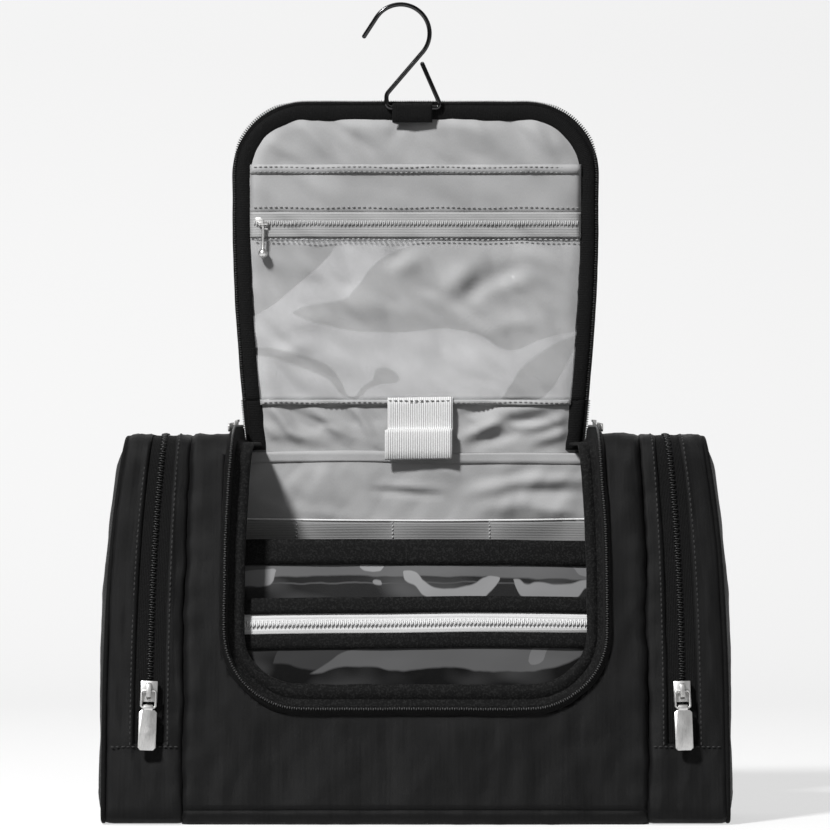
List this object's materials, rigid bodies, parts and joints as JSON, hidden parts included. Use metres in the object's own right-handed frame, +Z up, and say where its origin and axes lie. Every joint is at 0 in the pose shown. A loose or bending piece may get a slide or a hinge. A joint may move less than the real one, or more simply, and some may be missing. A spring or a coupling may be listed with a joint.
{
  "type": "hanging toiletry bag",
  "caption": "Hanging toiletry bag with a fold-up lid, clear inner pockets, zipped end pockets and a wire hook.",
  "frame": {"origin": "middle of the base, on the surface that the bag stands on", "axes": "+X to the right seen from the front, +Y from the front to the back, +Z up"},
  "size_m": [0.3172, 0.0841, 0.4175],
  "materials": {
    "black_nylon": "woven, crinkled, faint vertical streaks, low sheen",
    "black_trim": "ribbed or fuzzy tape, matt",
    "black_coil": "fine moulded coil, satin",
    "grey_lining": "smooth woven lining, wrinkled",
    "grey_zip": "ribbed tape and elastic, light",
    "clear_vinyl": "clear, soft and glossy",
    "brushed_steel": "brushed, bright",
    "dark_steel": "dark polished wire"
  },
  "bodies": {
    "bag": {"back_elastic": "grey_zip", "back_lining": "grey_lining", "back_panel": "black_nylon", "back_slip_pocket": "grey_lining", "base_panel": "black_nylon", "divider_left": "grey_lining", "divider_right": "grey_lining", "end_gusset_left": "black_nylon", "end_gusset_right": "black_nylon", "end_panel_left": "black_nylon", "end_panel_right": "black_nylon", "end_zip_coil_left": "black_coil", "end_zip_coil_right": "black_coil", "end_zip_tape_left": "black_trim", "end_zip_tape_right": "black_trim", "front_panel": "black_nylon", "front_pouch_lower_band": "black_trim", "front_pouch_upper_band": "black_trim", "front_pouch_vinyl": "clear_vinyl", "front_pouch_zip_coil": "grey_zip", "front_pouch_zip_tape": "grey_zip", "opening_zip_coil": "black_coil", "opening_zip_tape": "black_trim", "piping_left": "black_trim", "piping_right": "black_trim", "rear_pouch_band": "black_trim", "rear_pouch_vinyl": "clear_vinyl"},
    "lid_top": {"lid_top_binding_left": "black_trim", "lid_top_binding_right": "black_trim", "lid_top_lining": "grey_lining", "lid_top_shell": "black_nylon", "lid_top_window": "clear_vinyl", "lid_top_zip_left": "black_trim", "lid_top_zip_right": "black_trim", "keeper_tab": "grey_zip"},
    "lid": {"hook_loop": "black_trim", "lid_binding": "black_trim", "lid_lining": "grey_lining", "lid_pocket_zip_coil": "grey_zip", "lid_pocket_zip_tape": "grey_zip", "lid_shell": "black_nylon", "lid_slip_pocket": "grey_lining", "lid_window": "clear_vinyl", "lid_zip_coil": "black_coil", "lid_zip_tape": "black_trim"},
    "hook": {"hanger_hook": "dark_steel"},
    "lid_slider": {"lid_pocket_slider": "brushed_steel"},
    "lid_charm": {"lid_pocket_charm": "brushed_steel"},
    "pouch_slider": {"front_pouch_slider": "brushed_steel"},
    "main_slider_left": {"main_slider_left": "brushed_steel"},
    "main_pull_left": {"main_pull_left": "brushed_steel"},
    "end_slider_left": {"end_slider_left": "brushed_steel"},
    "end_link_left": {"end_link_left": "brushed_steel"},
    "end_pull_left": {"end_pull_left": "brushed_steel"},
    "main_slider_right": {"main_slider_right": "brushed_steel"},
    "main_pull_right": {"main_pull_right": "brushed_steel"},
    "end_slider_right": {"end_slider_right": "brushed_steel"},
    "end_link_right": {"end_link_right": "brushed_steel"},
    "end_pull_right": {"end_pull_right": "brushed_steel"}
  },
  "joints": [
    {"name": "fold_back", "type": "hinge", "parent": "bag", "child": "lid_top", "pos_m": [0, 0.036, 0.19], "axis": [1, 0, 0], "range_deg": [0, 90]},
    {"name": "fold_front", "type": "hinge", "parent": "lid_top", "child": "lid", "pos_m": [0, 0.0385, 0.23184], "axis": [1, 0, 0], "range_deg": [0, 79.8]},
    {"name": "hook_swing", "type": "hinge", "parent": "lid", "child": "hook", "pos_m": [0, 0.0359, 0.3631], "axis": [1, 0, 0], "range_deg": [-15, 178]},
    {"name": "lid_slide", "type": "slide", "parent": "lid", "child": "lid_slider", "axis": [1, 0, 0], "range_m": [0, 0.155]},
    {"name": "charm_swing", "type": "hinge", "parent": "lid_slider", "child": "lid_charm", "pos_m": [-0.0785, 0.03331, 0.3036], "axis": [-1, 0, 0], "range_deg": [-8, 120]},
    {"name": "pouch_slide", "type": "slide", "parent": "bag", "child": "pouch_slider", "axis": [-1, 0, 0], "range_m": [0, 0.195]},
    {"name": "main_slide_left", "type": "slide", "parent": "bag", "child": "main_slider_left", "axis": [-0.0864, -0.9957, -0.0326], "range_m": [0, 0.026]},
    {"name": "main_pull_swing_left", "type": "hinge", "parent": "main_slider_left", "child": "main_pull_left", "pos_m": [-0.09365, 0.02721, 0.19921], "axis": [0, 0.0328, -0.9995], "range_deg": [0, 150]},
    {"name": "end_slide_left", "type": "slide", "parent": "bag", "child": "end_slider_left", "axis": [0.0295, 0.177, 0.9838], "range_m": [0, 0.085]},
    {"name": "end_link_swing_left", "type": "hinge", "parent": "end_slider_left", "child": "end_link_left", "pos_m": [-0.13383, -0.03612, 0.06656], "axis": [-0.9996, 0.0052, 0.0291], "range_deg": [0, 120]},
    {"name": "end_pull_swing_left", "type": "hinge", "parent": "end_link_left", "child": "end_pull_left", "pos_m": [-0.13409, -0.03762, 0.0582], "axis": [-0.9996, 0.0052, 0.0291], "range_deg": [0, 60]},
    {"name": "main_slide_right", "type": "slide", "parent": "bag", "child": "main_slider_right", "axis": [0.0864, -0.9957, -0.0326], "range_m": [0, 0.026]},
    {"name": "main_pull_swing_right", "type": "hinge", "parent": "main_slider_right", "child": "main_pull_right", "pos_m": [0.09365, 0.02721, 0.19921], "axis": [0, -0.0328, 0.9995], "range_deg": [0, 150]},
    {"name": "end_slide_right", "type": "slide", "parent": "bag", "child": "end_slider_right", "axis": [-0.0295, 0.177, 0.9838], "range_m": [0, 0.085]},
    {"name": "end_link_swing_right", "type": "hinge", "parent": "end_slider_right", "child": "end_link_right", "pos_m": [0.13383, -0.03612, 0.06656], "axis": [-0.9996, -0.0052, -0.0291], "range_deg": [0, 120]},
    {"name": "end_pull_swing_right", "type": "hinge", "parent": "end_link_right", "child": "end_pull_right", "pos_m": [0.13409, -0.03762, 0.0582], "axis": [-0.9996, -0.0052, -0.0291], "range_deg": [0, 60]}
  ]
}
